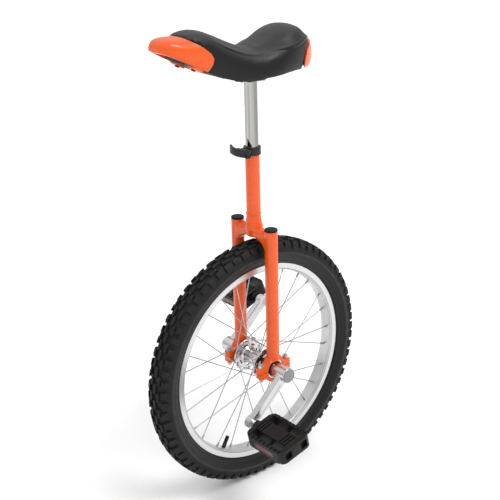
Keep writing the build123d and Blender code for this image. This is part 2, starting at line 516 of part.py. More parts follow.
# Saddle envelope: stations along X with top, half width and skirt edge heights.
SX = [-136, -124.5, -108, -73, -30, 14, 52, 91, 130, 163, 192, 208]
ST = [875, 895.5, 910, 920.5, 903, 890, 901, 920.5, 936, 931.5, 929, 916]
SW = [17, 28, 40, 55, 63, 58.5, 51, 46, 44, 39.5, 30.5, 15]
SB = [845.5, 840, 833.5, 833, 833.5, 831, 831.5, 844.5, 862, 882, 899.5, 908.5]


def section(x, t, w, b, n=3.0, drop=0.0):
    """Closed saddle cross-section in the plane at x."""
    zc = b + (t - b) * 0.45
    pts = []
    for i in range(20):
        a = 2 * math.pi * (i + 0.5) / 20
        c, s = math.cos(a), math.sin(a)
        y = w * math.copysign(abs(c) ** (2 / n), c)
        z = zc + (t - zc) * abs(s) ** (2 / 2.4) if s >= 0 else zc - (zc - b) * abs(s) ** (2 / 5.0)
        pts.append((y, z))
    pl = Plane(origin=(x, 0, 0), x_dir=(0, 1, 0), z_dir=(1, 0, 0))
    return pl * make_face(Wire([Spline(*pts, periodic=True)]))


def saddle_loft(d, drop, x_lo, x_hi):
    """The envelope, drawn in by d at the top and sides and let down by drop below."""
    secs = []
    for x, t, w, b in zip(SX, ST, SW, SB):
        if x_lo <= x <= x_hi:
            secs.append(section(x, t - d, w - d, b - drop))
    return loft(secs)


envelope = saddle_loft(0, 0, -200, 300)
# side outline of the front handle, in X and Z, and of the rear bumper
handle_zone = Polyline((166, 960), (164, 931), (156, 925), (135, 911.5), (121, 899), (116.5, 890), (119, 881), (127, 869.5), (131, 862),
                       (140, 840), (240, 880), (240, 960), close=True)
rear_zone = Polyline((-160, 892), (-132, 888), (-113, 882.5), (-98, 873), (-90, 857), (-89, 838), (-89, 815), (-160, 815), close=True)
pl_xz = Plane(origin=(0, 100, 0), x_dir=(1, 0, 0), z_dir=(0, -1, 0))
hz = extrude(pl_xz * make_face(handle_zone), amount=200)
rz = extrude(pl_xz * make_face(rear_zone), amount=200)
inner_front = loft([section(x, t - 7.5, w - 5.0, b - 30) for x, t, w, b in zip(SX, ST, SW, SB) if 90 <= x <= 170]
                   + [section(192, 921.5, 25.0, 870), section(203, 912, 14, 880)])
# the handle sits a little below the padding where the two meet
shell_top = loft([section(x, t - dt, w - dw, b) for (x, t, w, b), (dt, dw) in
                  zip([q for q in zip(SX, ST, SW, SB) if q[0] >= 90], ((3.5, 0.6), (3.5, 0.6), (3.2, 0.6), (0.8, 0.3), (0.0, 0.0)))])
front_handle = (shell_top & hz) - inner_front
front_handle = front_handle.solids().sort_by(SortBy.VOLUME)[-1]
inner_rear = loft([section(-128, 872, 16, 810), section(-118, 893, 26, 810), section(-106, 904, 36.5, 810), section(-84, 912.5, 46, 810)])
rear_bumper = (envelope & rz) - inner_rear
rear_bumper = rear_bumper.solids().sort_by(SortBy.VOLUME)[-1]

# Base pan: the rigid shell under the padding, following the skirt edge.
PX = [-122, -100, -60, -30, 14, 52, 91, 130, 158]
PW = [17, 31, 46, 52, 48, 40.5, 35, 32, 27]


def z_edge(x, arr):
    for i in range(len(SX) - 1):
        if SX[i] <= x <= SX[i + 1]:
            f = (x - SX[i]) / (SX[i + 1] - SX[i])
            return arr[i] * (1 - f) + arr[i + 1] * f
    return arr[-1]


pan_under = [(x, z_edge(x, SB) + 4.5) for x in PX]
ZB = Z_POST_TOP + 3.5
pan_line = [(-122, 846.5), (-100, 843.5), (-60, ZB), (60, ZB), (91, 851), (130, 868), (158, 884.5)]
pan_top = [(x, z + 5.0) for x, z in reversed(pan_line)]
pan_prof = extrude(pl_xz * make_face(Polyline(*(pan_line + pan_top), close=True)), amount=200)
pan_plan = make_face(Wire([Spline(*([(PX[0], 0)] + [(x, w) for x, w in zip(PX, PW)] + [(PX[-1] + 3, 0)])),
                           Spline(*([(PX[-1] + 3, 0)] + [(x, -w) for x, w in reversed(list(zip(PX, PW)))] + [(PX[0], 0)]))]))
pan_block = extrude(Plane.XY.offset(780) * pan_plan, amount=200)
base = pan_prof & pan_block
base = base.solids().sort_by(SortBy.VOLUME)[-1]


def lug(x0, x1, y0, y1, t):
    """Pair of tabs lying under the pan between two stations, t thick."""
    def zp(x):
        for (xa, za), (xb, zb) in zip(pan_line, pan_line[1:]):
            if xa <= x <= xb:
                return za + (zb - za) * (x - xa) / (xb - xa)
        return pan_line[0][1] if x < pan_line[0][0] else pan_line[-1][1]
    pts = [(x0, zp(x0)), (x1, zp(x1)), (x1, zp(x1) - t), (x0, zp(x0) - t)]
    prism = extrude(pl_xz * make_face(Polyline(*pts, close=True)), amount=200)
    return prism & (box(x0 - 1, x1 + 1, y0, y1, 800, 900) + box(x0 - 1, x1 + 1, -y1, -y0, 800, 900))


front_lugs = lug(135, 151, 16, 40, 4.0) & envelope
tie = (box(135, 151, 32.0, 44, 868, 888) + box(135, 151, -44, -32.0, 868, 888)) & envelope
front_lugs = front_lugs + tie
rear_lugs = lug(-122, -107, 10, 38, 3.0) & envelope
front_handle = (front_handle + front_lugs)
front_handle = front_handle.solids().sort_by(SortBy.VOLUME)[-1]
rear_bumper = (rear_bumper + rear_lugs)
rear_bumper = rear_bumper.solids().sort_by(SortBy.VOLUME)[-1]
screws, screw_holes = [], []
for x, z, deg, y, t in ((143.0, 875.66, 30.5, 23.0, 4.0), (-112.0, 845.14, -7.77, 17.0, 3.0)):
    n = Vector(-math.sin(math.radians(deg)), 0, math.cos(math.radians(deg)))
    tn = t * math.cos(math.radians(deg))
    for sy in (1, -1):
        o = Vector(x, sy * y, z)
        screws.append(Solid.make_cylinder(2.0, tn + 4.0, Plane(origin=o - n * tn, z_dir=n))
                      + Solid.make_cylinder(4.0, 2.2, Plane(origin=o - n * (tn + 2.25), z_dir=n)))
        screw_holes.append(Solid.make_cylinder(2.05, 16, Plane(origin=o - n * 8, z_dir=n)))
below_pan = extrude(pl_xz * make_face(Polyline(*([(-122, 780)] + pan_line + [(158, 780)]), close=True)), amount=200) & pan_block
cushion = envelope - hz - rz - base - below_pan - front_lugs - rear_lugs
front_fill = (envelope & inner_front & hz) & box(100, 163, -60, 60, 800, 960)
cushion = cushion + front_fill - base - below_pan - front_lugs
cushion = cushion.solids().sort_by(SortBy.VOLUME)[-1]

BOLT_TOP = ZB + 5.0
sb, sn, pockets = [], [], []
for x, y in BOLT_XY:
    b = cyl_z(3.0, Z_POST_TOP - 12.0, BOLT_TOP, x, y) + cyl_z(6.5, BOLT_TOP, BOLT_TOP + 2.4, x, y)
    sb.append(b)
    n = cyl_z(6.2, Z_POST_TOP - 1.4, Z_POST_TOP, x, y) + hexagon(10.0, Z_POST_TOP - 6.6, Z_POST_TOP - 1.4, x, y)
    sn.append(n - cyl_z(3.0, Z_POST_TOP - 14, Z_POST_TOP + 1, x, y))
    pockets.append(cyl_z(6.5, BOLT_TOP, BOLT_TOP + 2.4, x, y))
base = base - [cyl_z(3.1, ZB - 2, ZB + 8, x, y) for x, y in BOLT_XY] - screw_holes
front_handle = front_handle - screw_holes
rear_bumper = rear_bumper - screw_holes
cushion = cushion - pockets
save("saddle_bolts", sb)
save("saddle_nuts", sn)
save("saddle_base", base)
save("saddle_cushion", cushion)
save("front_handle", front_handle)
save("rear_bumper", rear_bumper)
save("bumper_screws", screws)
print("cushion", round(cushion.volume), "handle", round(front_handle.volume), "rear", round(rear_bumper.volume), "base", round(base.volume))
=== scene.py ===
import json
import math
import bmesh
import bpy
import numpy as np
from mathutils import Matrix, Vector


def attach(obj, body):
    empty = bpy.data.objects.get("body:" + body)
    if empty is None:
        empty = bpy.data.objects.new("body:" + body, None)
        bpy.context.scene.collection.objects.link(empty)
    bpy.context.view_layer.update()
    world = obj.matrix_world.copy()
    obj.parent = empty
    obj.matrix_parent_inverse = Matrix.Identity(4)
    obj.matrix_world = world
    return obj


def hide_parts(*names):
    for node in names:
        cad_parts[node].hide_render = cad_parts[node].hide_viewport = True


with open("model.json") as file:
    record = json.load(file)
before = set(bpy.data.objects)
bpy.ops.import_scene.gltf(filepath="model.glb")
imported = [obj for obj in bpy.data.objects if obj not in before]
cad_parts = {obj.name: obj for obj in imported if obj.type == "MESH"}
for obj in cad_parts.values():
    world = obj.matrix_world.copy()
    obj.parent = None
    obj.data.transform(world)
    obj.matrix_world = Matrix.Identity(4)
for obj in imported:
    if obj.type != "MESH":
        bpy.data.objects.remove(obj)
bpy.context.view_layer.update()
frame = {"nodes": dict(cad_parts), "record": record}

nodes = frame["nodes"]
AXLE_Z = 0.258


# ------------------------------------------------------------------ node helpers
class Graph:
    """Small wrapper round a material's node tree."""

    def __init__(self, name):
        self.mat = bpy.data.materials.new(name)
        self.mat.use_nodes = True
        self.nt = self.mat.node_tree
        self.nt.nodes.clear()
        self.out = self.nt.nodes.new("ShaderNodeOutputMaterial")
        self.bsdf = self.nt.nodes.new("ShaderNodeBsdfPrincipled")
        self.nt.links.new(self.bsdf.outputs[0], self.out.inputs[0])
        self.coord = self.nt.nodes.new("ShaderNodeTexCoord").outputs["Object"]

    def link(self, a, b):
        self.nt.links.new(a, b)
        return b

    def put(self, **kw):
        names = {"metallic": "Metallic", "rough": "Roughness", "ior": "IOR", "coat": "Coat Weight",
                 "coat_rough": "Coat Roughness", "spec": "Specular IOR Level", "sheen": "Sheen Weight",
                 "sheen_rough": "Sheen Roughness", "aniso": "Anisotropic"}
        for k, v in kw.items():
            self.bsdf.inputs[names[k]].default_value = v

    def mapping(self, scale, vec=None, loc=(0, 0, 0)):
        n = self.nt.nodes.new("ShaderNodeMapping")
        n.inputs["Scale"].default_value = scale
        n.inputs["Location"].default_value = loc
        self.link(vec or self.coord, n.inputs["Vector"])
        return n.outputs[0]

    def noise(self, scale, detail=3.0, rough=0.5, vec=None):
        n = self.nt.nodes.new("ShaderNodeTexNoise")
        n.inputs["Scale"].default_value = scale
        n.inputs["Detail"].default_value = detail
        n.inputs["Roughness"].default_value = rough
        self.link(vec or self.coord, n.inputs["Vector"])
        return n.outputs["Fac"]

    def voronoi(self, scale, feature="F1", out="Distance", vec=None, rand=1.0):
        n = self.nt.nodes.new("ShaderNodeTexVoronoi")
        n.feature = feature
        n.inputs["Scale"].default_value = scale
        n.inputs["Randomness"].default_value = rand
        self.link(vec or self.coord, n.inputs["Vector"])
        return n.outputs[out]

    def math(self, op, a, b=None, c=None, clamp=False):
        n = self.nt.nodes.new("ShaderNodeMath")
        n.operation = op
        n.use_clamp = clamp
        for i, v in enumerate((a, b, c)):
            if v is None:
                continue
            if isinstance(v, (int, float)):
                n.inputs[i].default_value = v
            else:
                self.link(v, n.inputs[i])
        return n.outputs[0]

    def ramp(self, fac, lo, hi, a=0.0, b=1.0):
        n = self.nt.nodes.new("ShaderNodeMapRange")
        n.inputs["From Min"].default_value = lo
        n.inputs["From Max"].default_value = hi
        n.inputs["To Min"].default_value = a
        n.inputs["To Max"].default_value = b
        self.link(fac, n.inputs["Value"])
        return n.outputs["Result"]

    def mix(self, fac, a, b):
        n = self.nt.nodes.new("ShaderNodeMix")
        n.data_type = "RGBA"
        self.link(fac, n.inputs["Factor"]) if not isinstance(fac, (int, float)) else setattr(n.inputs["Factor"], "default_value", fac)
        for v, s in ((a, n.inputs["A"] if False else n.inputs[6]), (b, n.inputs[7])):
            if isinstance(v, (tuple, list)):
                s.default_value = (*v, 1.0) if len(v) == 3 else v
            else:
                self.link(v, s)
        return n.outputs[2]

    def wheel_coord(self, radial, lateral):
        """(radius about the axle, y) so that a pattern runs round the wheel."""
        sep = self.nt.nodes.new("ShaderNodeSeparateXYZ")
        self.link(self.coord, sep.inputs[0])
        dz = self.math("SUBTRACT", sep.outputs["Z"], AXLE_Z)
        r = self.math("SQRT", self.math("ADD", self.math("MULTIPLY", sep.outputs["X"], sep.outputs["X"]),
                                        self.math("MULTIPLY", dz, dz)))
        com = self.nt.nodes.new("ShaderNodeCombineXYZ")
        self.link(self.math("MULTIPLY", r, radial), com.inputs[0])
        self.link(self.math("MULTIPLY", sep.outputs["Y"], lateral), com.inputs[1])
        return r, com.outputs[0]

    def bump(self, height, strength, distance):
        n = self.nt.nodes.new("ShaderNodeBump")
        n.inputs["Strength"].default_value = strength
        n.inputs["Distance"].default_value = distance
        self.link(height, n.inputs["Height"])
        self.link(n.outputs[0], self.bsdf.inputs["Normal"])
        return n

    def colour(self, v):
        self.link(v, self.bsdf.inputs["Base Color"])

    def roughness(self, v):
        self.link(v, self.bsdf.inputs["Roughness"])


def varied(name, a, b, scale=60.0, rough=(0.35, 0.5), rough_scale=180.0, bump_scale=900.0, bump=0.1,
           dist=0.0002, squash=(1, 1, 1), **put):
    """Two tones and two roughnesses mottled together, with a fine relief."""
    g = Graph(name)
    v = g.mapping(squash)
    g.colour(g.mix(g.ramp(g.noise(scale, 4.0, 0.55, v), 0.3, 0.7), a, b))
    g.roughness(g.ramp(g.noise(rough_scale, 3.0, 0.6, v), 0.3, 0.7, rough[0], rough[1]))
    g.bump(g.noise(bump_scale, 2.0, 0.5, v), bump, dist)
    g.put(**put)
    return g


M = {}

# gloss orange powder coat: faint orange peel under a clear coat
g = Graph("paint_orange")
g.colour(g.mix(g.ramp(g.noise(14.0, 3.0), 0.3, 0.7), (0.76, 0.086, 0.003), (0.82, 0.098, 0.005)))
g.roughness(g.ramp(g.noise(90.0, 3.0), 0.3, 0.7, 0.24, 0.34))
g.bump(g.noise(620.0, 2.0), 0.12, 0.0002)
g.put(coat=0.30, coat_rough=0.06, spec=0.35)
M["frame_paint"] = g.mat

# moulded orange plastic of the saddle ends
g = Graph("moulded_orange")
g.colour(g.mix(g.ramp(g.noise(22.0, 3.0), 0.3, 0.7), (0.74, 0.084, 0.003), (0.81, 0.098, 0.005)))
g.roughness(g.ramp(g.noise(160.0, 4.0), 0.3, 0.7, 0.22, 0.34))
g.bump(g.noise(1500.0, 2.0), 0.10, 0.00012)
g.put(coat=0.20, coat_rough=0.10, spec=0.38)
M["orange_plastic"] = g.mat

# tyre rubber: matte charcoal, a polished band by the rim, and a painted highlight greying the moulded rib
g = Graph("rubber_tyre")
r, vec = g.wheel_coord(1.0, 1.0)
band = g.math("MULTIPLY", g.ramp(r, 0.2075, 0.2095), g.ramp(r, 0.2262, 0.2274, 1.0, 0.0), clamp=True)
# painted highlight: the moulded sidewall rib is coloured lighter grey where light catches it
rib_painted_highlight = g.math("MULTIPLY", g.ramp(r, 0.2272, 0.2280), g.ramp(r, 0.2318, 0.2328, 1.0, 0.0), clamp=True)
dust = g.ramp(g.noise(34.0, 5.0, 0.65), 0.35, 0.75)
body = g.mix(dust, (0.0055, 0.0055, 0.006), (0.0105, 0.0105, 0.011))
worn = g.ramp(r, 0.2568, 0.2582)
body = g.mix(g.math("MULTIPLY", worn, 0.5), body, (0.016, 0.016, 0.016))
body = g.mix(rib_painted_highlight, body, (0.028, 0.028, 0.029))
g.colour(g.mix(band, body, (0.0018, 0.0018, 0.002)))
ro = g.ramp(g.noise(240.0, 4.0), 0.3, 0.7, 0.55, 0.78)
g.roughness(g.math("SUBTRACT", ro, g.math("MULTIPLY", band, 0.28)))
g.bump(g.math("ADD", g.noise(700.0, 3.0), g.math("MULTIPLY", g.noise(160.0, 3.0), 0.6)), 0.35, 0.0004)
g.put(spec=0.30)
M["tyre_rubber"] = g.mat
M["tube_rubber"] = varied("rubber_tube", (0.012, 0.012, 0.012), (0.022, 0.022, 0.022), 80, (0.4, 0.6), spec=0.35).mat


def spun(name, a, b, rough, metallic=1.0, fine=2600.0, bump=0.05, **put):
    """Metal turned or rolled round the wheel axis: fine concentric lines."""
    g = Graph(name)
    r, vec = g.wheel_coord(1.0, 1.0)
    lines = g.noise(fine, 3.0, 0.6, vec)
    cloud = g.noise(24.0, 4.0, 0.6)
    g.colour(g.mix(g.ramp(g.math("ADD", g.math("MULTIPLY", lines, 0.5), g.math("MULTIPLY", cloud, 0.5)), 0.35, 0.65), a, b))
    g.roughness(g.ramp(lines, 0.3, 0.7, rough[0], rough[1]))
    g.bump(lines, bump, 0.0002)
    g.put(metallic=metallic, **put)
    return g.mat


g = Graph("alloy_rim")
r, vec = g.wheel_coord(1.0, 1.0)
lines = g.noise(2400.0, 3.0, 0.6, vec)
wallpart = g.ramp(r, 0.1962, 0.1972)
# painted shade: a dark line along the step in the rim profile
step = g.math("MULTIPLY", g.ramp(r, 0.1950, 0.1958), g.ramp(r, 0.1964, 0.1972, 1.0, 0.0), clamp=True)
bed = g.mix(g.ramp(g.noise(30.0, 4.0), 0.3, 0.7), (0.58, 0.58, 0.58), (0.66, 0.66, 0.66))
side = g.mix(g.ramp(lines, 0.3, 0.7), (0.62, 0.62, 0.62), (0.72, 0.72, 0.72))
g.colour(g.mix(g.math("MULTIPLY", step, 0.6), g.mix(wallpart, bed, side), (0.20, 0.20, 0.20)))
g.roughness(g.math("ADD", g.ramp(lines, 0.3, 0.7, 0.30, 0.40), g.math("MULTIPLY", wallpart, -0.04)))
g.bump(lines, 0.06, 0.0002)
g.put(metallic=0.9)
M["rim_alloy"] = g.mat
M["hub_alloy"] = spun("alloy_hub", (0.50, 0.50, 0.51), (0.68, 0.68, 0.69), (0.14, 0.26), 1.0)
M["axle_steel"] = spun("steel_axle", (0.42, 0.42, 0.43), (0.58, 0.58, 0.58), (0.22, 0.36), 1.0)
M["bearing_steel"] = spun("steel_bearing", (0.46, 0.46, 0.47), (0.62, 0.62, 0.63), (0.12, 0.22), 1.0)
M["seal_rubber"] = spun("rubber_seal", (0.010, 0.010, 0.011), (0.020, 0.020, 0.021), (0.35, 0.5), 0.0, 1800.0, 0.15)
M["spoke_steel"] = varied("steel_spoke", (0.36, 0.36, 0.365), (0.48, 0.48, 0.485), 40, (0.22, 0.34), 300, 1200, 0.05,
                          metallic=1.0).mat
M["crank_alloy"] = varied("alloy_crank", (0.58, 0.58, 0.585), (0.64, 0.64, 0.645), 18, (0.19, 0.24), 60, 1500, 0.015,
                          metallic=1.0).mat
M["zinc_steel"] = varied("steel_zinc", (0.44, 0.46, 0.48), (0.60, 0.60, 0.60), 130, (0.18, 0.34), 500, 1600, 0.08,
                         metallic=1.0).mat
# chrome post: fine drawn-tube streaks plus broad painted reflection bands that darken the base colour
g = Graph("chrome_post")
streak = g.noise(1.0, 4.0, 0.6, g.mapping((260.0, 260.0, 1.2)))
painted_reflection_bands = g.noise(1.0, 2.0, 0.5, g.mapping((75.0, 75.0, 0.6), loc=(3.1, 1.7, 0.0)))
streak_and_reflection_tone = g.math("ADD", g.math("MULTIPLY", streak, 0.35), g.math("MULTIPLY", painted_reflection_bands, 0.65))
g.colour(g.mix(g.ramp(streak_and_reflection_tone, 0.40, 0.60), (0.26, 0.255, 0.24), (0.58, 0.575, 0.555)))
g.roughness(g.ramp(g.noise(60.0, 3.0), 0.3, 0.7, 0.10, 0.16))
g.bump(streak, 0.02, 0.0002)
g.put(metallic=1.0)
M["post_chrome"] = g.mat
M["black_plastic"] = varied("plastic_black", (0.003, 0.003, 0.003), (0.006, 0.006, 0.006), 60, (0.46, 0.62), 260, 1600, 0.12,
                            spec=0.22).mat
M["clamp_black"] = varied("anodised_black", (0.004, 0.004, 0.0045), (0.009, 0.009, 0.0095), 90, (0.30, 0.42), 360, 1800, 0.10,
                          spec=0.4).mat
M["pedal_plastic"] = varied("plastic_pedal", (0.0030, 0.0031, 0.0032), (0.0066, 0.0067, 0.0070), 110, (0.38, 0.55), 420, 1300, 0.30,
                            dist=0.0003, spec=0.26).mat

# matte grey cap with a pebbled face
g = Graph("plastic_dust_cap")
cells = g.voronoi(900.0)
g.colour(g.mix(g.ramp(cells, 0.1, 0.7), (0.34, 0.34, 0.345), (0.20, 0.20, 0.205)))
g.roughness(g.ramp(g.noise(500.0), 0.3, 0.7, 0.5, 0.7))
g.bump(cells, 0.5, 0.0004)
M["dust_cap_plastic"] = g.mat

# moulded lens: rows of small prisms under a clear face
g = Graph("lens_reflector")
cells = g.voronoi(430.0, rand=0.0, vec=g.mapping((1, 1, 1)))
g.colour(g.mix(g.ramp(cells, 0.1, 0.6), (0.180, 0.020, 0.006), (0.050, 0.004, 0.002)))
g.roughness(g.ramp(g.noise(200.0), 0.3, 0.7, 0.08, 0.18))
g.bump(cells, 0.7, 0.0006)
g.put(coat=0.25, coat_rough=0.06, spec=0.3)
M["reflector"] = g.mat

# satin black cover: pebble grain in a soft vinyl
g = Graph("cover_black")
grain = g.voronoi(1250.0, vec=g.mapping((1, 1, 1)))
soft = g.noise(16.0, 4.0, 0.55)
geo = g.nt.nodes.new("ShaderNodeNewGeometry")
sep = g.nt.nodes.new("ShaderNodeSeparateXYZ")
g.link(geo.outputs["Normal"], sep.inputs[0])
# painted light: faces turned upwards get a paler colour and the sides a deeper one, as though lit from above
painted_top_light = g.ramp(sep.outputs["Z"], 0.30, 0.85)
deep = g.mix(g.ramp(soft, 0.3, 0.7), (0.0010, 0.0010, 0.0011), (0.0024, 0.0024, 0.0026))
pale = g.mix(g.ramp(soft, 0.3, 0.7), (0.0200, 0.0200, 0.0203), (0.0270, 0.0270, 0.0273))
g.colour(g.mix(painted_top_light, deep, pale))
g.roughness(g.ramp(g.noise(120.0, 4.0), 0.3, 0.7, 0.40, 0.52))
g.bump(g.math("ADD", g.math("MULTIPLY", grain, 0.8), g.noise(420.0, 3.0)), 0.16, 0.0002)
g.put(spec=0.32, sheen=0.02, sheen_rough=0.4)
M["saddle_cover"] = g.mat

DARK_PINS = {"lever_pin": "clamp_black", "clamp_skewer": "clamp_black", "clamp_nut": "clamp_black",
             "cam_washer": "clamp_black", "bumper_screws": "clamp_black"}
for part in frame["record"]["subparts"]:
    n = part["node"]
    if n in nodes:
        me = nodes[n].data
        me.materials.clear()
        me.materials.append(M[DARK_PINS.get(n, part["material_slot"])])
        for p in me.polygons:
            p.material_index = 0


# ------------------------------------------------------------------ mesh helpers
def mesh_object(name, verts, faces, mat, smooth=True):
    me = bpy.data.meshes.new(name)
    me.from_pydata([tuple(v) for v in verts], [], faces)
    me.validate()
    me.update()
    ob = bpy.data.objects.new(name, me)
    bpy.context.scene.collection.objects.link(ob)
    me.materials.append(mat)
    if smooth:
        me.polygons.foreach_set("use_smooth", [True] * len(me.polygons))
    return ob


def apply_modifiers(ob):
    """Bake the modifier stack into the mesh."""
    dg = bpy.context.evaluated_depsgraph_get()
    me = bpy.data.meshes.new_from_object(ob.evaluated_get(dg))
    old = ob.data
    ob.modifiers.clear()
    ob.data = me
    bpy.data.meshes.remove(old)
    return ob


# ------------------------------------------------------------------ tyre
# Carcass of revolution with a raised sidewall rib, and rows of tread blocks
# that stand on it.  (radius, half width) from the crown to the shoulder.
CARCASS = [(253.5, 0.0), (253.3, 4.0), (252.7, 8.0), (251.6, 12.0), (249.8, 15.9), (247.2, 19.3), (244.0, 22.1),
           (240.6, 24.1), (237.6, 25.3)]
TREAD = [(258.0, 0.0), (257.9, 4.1), (257.5, 8.2), (256.6, 12.4), (255.1, 16.6), (252.6, 20.6), (248.8, 24.0),
         (243.9, 26.3), (239.6, 26.9)]
SIDE = [(235.5, 26.0), (233.4, 26.5), (232.6, 27.0), (231.0, 27.25), (229.4, 27.2), (228.0, 26.8), (227.2, 25.9),
        (224.0, 25.2), (220.0, 23.6), (216.0, 21.6), (213.0, 20.0), (212.3, 20.2), (211.2, 19.6), (210.6, 18.6),
        (208.6, 16.4), (207.8, 15.0), (206.4, 13.9), (203.0, 13.9)]


def at(profile, t):
    i = min(int(t), len(profile) - 2)
    f = t - i
    return tuple(profile[i][k] * (1 - f) + profile[i + 1][k] * f for k in (0, 1))


def on_wheel(r, y, a):
    return (r * 0.001 * math.cos(a), y * 0.001, AXLE_Z + r * 0.001 * math.sin(a))


half_wall = CARCASS + SIDE
wall = [(r, y) for r, y in reversed(half_wall)] + [(r, -y) for r, y in half_wall[1:]]
inner = [(203.0, -8.8), (214.0, -17.0), (231.0, -23.0), (245.0, -17.0), (249.6, 0.0), (245.0, 17.0), (231.0, 23.0),
         (214.0, 17.0), (203.0, 8.8)]
loop = wall + inner
SEG = 224
verts, faces = [], []
for s in range(SEG):
    a = 2 * math.pi * s / SEG
    verts += [on_wheel(r, y, a) for r, y in loop]
L = len(loop)
for s in range(SEG):
    b0, b1 = s * L, ((s + 1) % SEG) * L
    for k in range(L):
        k2 = (k + 1) % L
        faces.append((b0 + k, b0 + k2, b1 + k2, b1 + k))


def block(t0, t1, a0, a1, sy, taper=0.7, steps=2, low=-0.6):
    """Tread block between two places on the profile and two angles, with chamfered top edges."""
    base = len(verts)
    rc = 256.0
    am = 0.5 * (a0 + a1)
    ts = [t0 + (t1 - t0) * i / steps for i in range(steps + 1)]
    da = taper / rc
    rings = []
    # foot, shoulder and top outlines, as (height share, inset)
    for h, inset in ((low, 0.0), (0.72, 0.35), (1.0, 1.0)):
        ring = []
        ins_t = 0.16 * inset
        for i, t in enumerate(ts):
            tt = t + (ins_t if i == 0 else (-ins_t if i == steps else 0.0))
            c, p = at(CARCASS, tt), at(TREAD, tt)
            r, y = c[0] + (p[0] - c[0]) * h, c[1] + (p[1] - c[1]) * h
            ring.append((r, y))
        rings.append((ring, inset))
    idx = []
    for ring, inset in rings:
        row = []
        for a_edge, sgn in ((a0, 1), (a1, -1)):
            line = []
            for r, y in ring:
                line.append(len(verts))
                verts.append(on_wheel(r, sy * y, a_edge + sgn * da * inset))
            row.append(line)
        idx.append(row)
    n = steps + 1

    def quad(a, b, c, d):
        faces.append((a, b, c, d) if sy < 0 else (d, c, b, a))

    for lo, hi in ((0, 1), (1, 2)):
        A, B = idx[lo], idx[hi]
        for k in range(n - 1):
            quad(A[0][k], A[0][k + 1], B[0][k + 1], B[0][k])
            quad(A[1][k + 1], A[1][k], B[1][k], B[1][k + 1])
        quad(A[1][0], A[0][0], B[0][0], B[1][0])
        quad(A[0][n - 1], A[1][n - 1], B[1][n - 1], B[0][n - 1])
    T = idx[2]
    for k in range(n - 1):
        quad(T[0][k], T[0][k + 1], T[1][k + 1], T[1][k])


# 48 blocks in each of the four middle rows, 72 lugs on each shoulder
step = 2 * math.pi / 48
for i in range(48):
    a = -math.pi / 2 + i * step
    for sy in (1, -1):
        c = a + (0.0 if sy > 0 else 0.5) * step
        block(0.30, 1.80, c - 0.31 * step, c + 0.31 * step, sy)
        block(2.45, 3.85, c + 0.22 * step, c + 0.78 * step, sy)
step = 2 * math.pi / 72
for i in range(72):
    a = -math.pi / 2 + i * step
    for sy in (1, -1):
        c = a + (0.0 if sy > 0 else 0.5) * step
        end = 7.9 if i % 2 == 0 else 6.9
        block(4.50, end, c - 0.30 * step, c + 0.30 * step, sy, steps=4)
tyre = mesh_object("tyre_knobby", verts, faces, M["tyre_rubber"], smooth=False)
bm = bmesh.new()
bm.from_mesh(tyre.data)
bmesh.ops.recalc_face_normals(bm, faces=bm.faces)
bm.to_mesh(tyre.data)
bm.free()
n_smooth = SEG * L
flags = [i < n_smooth for i in range(len(tyre.data.polygons))]
tyre.data.polygons.foreach_set("use_smooth", flags)
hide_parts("tyre")
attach(tyre, "wheel")


